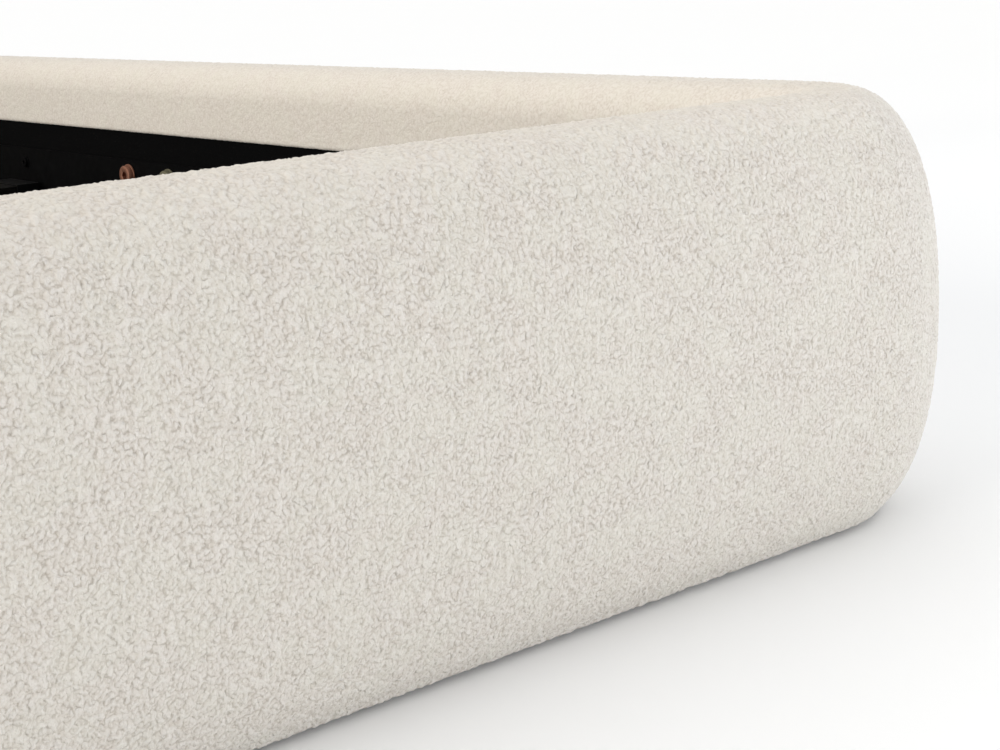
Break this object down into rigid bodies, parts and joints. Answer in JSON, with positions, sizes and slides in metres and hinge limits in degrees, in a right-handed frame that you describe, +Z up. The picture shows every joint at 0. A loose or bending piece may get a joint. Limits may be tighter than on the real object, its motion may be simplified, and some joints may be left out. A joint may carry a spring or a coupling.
{
  "type": "upholstered headboard bed",
  "caption": "Low queen-size bed with thick rounded boucle rails that reach the floor, a padded headboard, and black slats on a steel base inside.",
  "frame": {"origin": "on the floor, under the middle of the bed", "axes": "+Z up, +Y from the foot towards the headboard, +X to the right of someone looking at the bed from its foot"},
  "size_m": [1.89, 2.3, 1.05],
  "materials": {
    "boucle": "cream looped boucle over foam",
    "plywood": "black-stained plywood",
    "timber": "planed pine",
    "black_cloth": "black non-woven lining",
    "black_steel": "black powder coat, fine texture",
    "black_slat": "black-stained plywood, open grain",
    "black_plastic": "black moulded plastic",
    "zinc_steel": "zinc-plated steel",
    "bronze_steel": "yellow-bronze plated steel"
  },
  "bodies": {
    "bed": {"beam_bracket_foot": "black_steel", "beam_bracket_head": "black_steel", "centre_beam": "black_steel", "centre_leg_1": "black_steel", "centre_leg_2": "black_steel", "centre_leg_3": "black_steel", "corner_bracket_foot_left": "black_steel", "corner_bracket_foot_right": "black_steel", "corner_bracket_head_left": "black_steel", "corner_bracket_head_right": "black_steel", "corner_former_left": "timber", "corner_former_right": "timber", "cross_bar_bracket_left": "black_steel", "cross_bar_bracket_right": "black_steel", "cross_bar_left": "black_steel", "cross_bar_right": "black_steel", "foot_board": "plywood", "foot_lining": "black_cloth", "foot_pad": "boucle", "glide_foot_left": "black_plastic", "glide_foot_right": "black_plastic", "glide_head_left": "black_plastic", "glide_head_right": "black_plastic", "headboard_back_cover": "black_cloth", "headboard_muntin": "timber", "headboard_pad": "boucle", "headboard_panel": "plywood", "headboard_rail_bottom": "timber", "headboard_rail_top": "timber", "headboard_stile_left": "timber", "headboard_stile_right": "timber", "ledger_bolt_left_1": "bronze_steel", "ledger_bolt_left_2": "bronze_steel", "ledger_bolt_right_1": "bronze_steel", "ledger_bolt_right_2": "bronze_steel", "ledger_left": "black_steel", "ledger_right": "black_steel", "side_board_left": "plywood", "side_board_right": "plywood", "side_lining_left": "black_cloth", "side_lining_right": "black_cloth", "side_pad_left": "boucle", "side_pad_right": "boucle", "slat_01": "black_slat", "slat_02": "black_slat", "slat_03": "black_slat", "slat_04": "black_slat", "slat_05": "black_slat", "slat_06": "black_slat", "slat_07": "black_slat", "slat_08": "black_slat", "slat_09": "black_slat", "slat_10": "black_slat", "slat_11": "black_slat", "slat_12": "black_slat", "slat_13": "black_slat"},
    "foot_1": {"levelling_foot_1": "zinc_steel"},
    "foot_2": {"levelling_foot_2": "zinc_steel"},
    "foot_3": {"levelling_foot_3": "zinc_steel"}
  },
  "joints": [
    {"name": "foot_1_screw", "type": "slide", "parent": "bed", "child": "foot_1", "axis": [0, 0, 1], "range_m": [0, 0.01]},
    {"name": "foot_2_screw", "type": "slide", "parent": "bed", "child": "foot_2", "axis": [0, 0, 1], "range_m": [0, 0.01]},
    {"name": "foot_3_screw", "type": "slide", "parent": "bed", "child": "foot_3", "axis": [0, 0, 1], "range_m": [0, 0.01]}
  ]
}
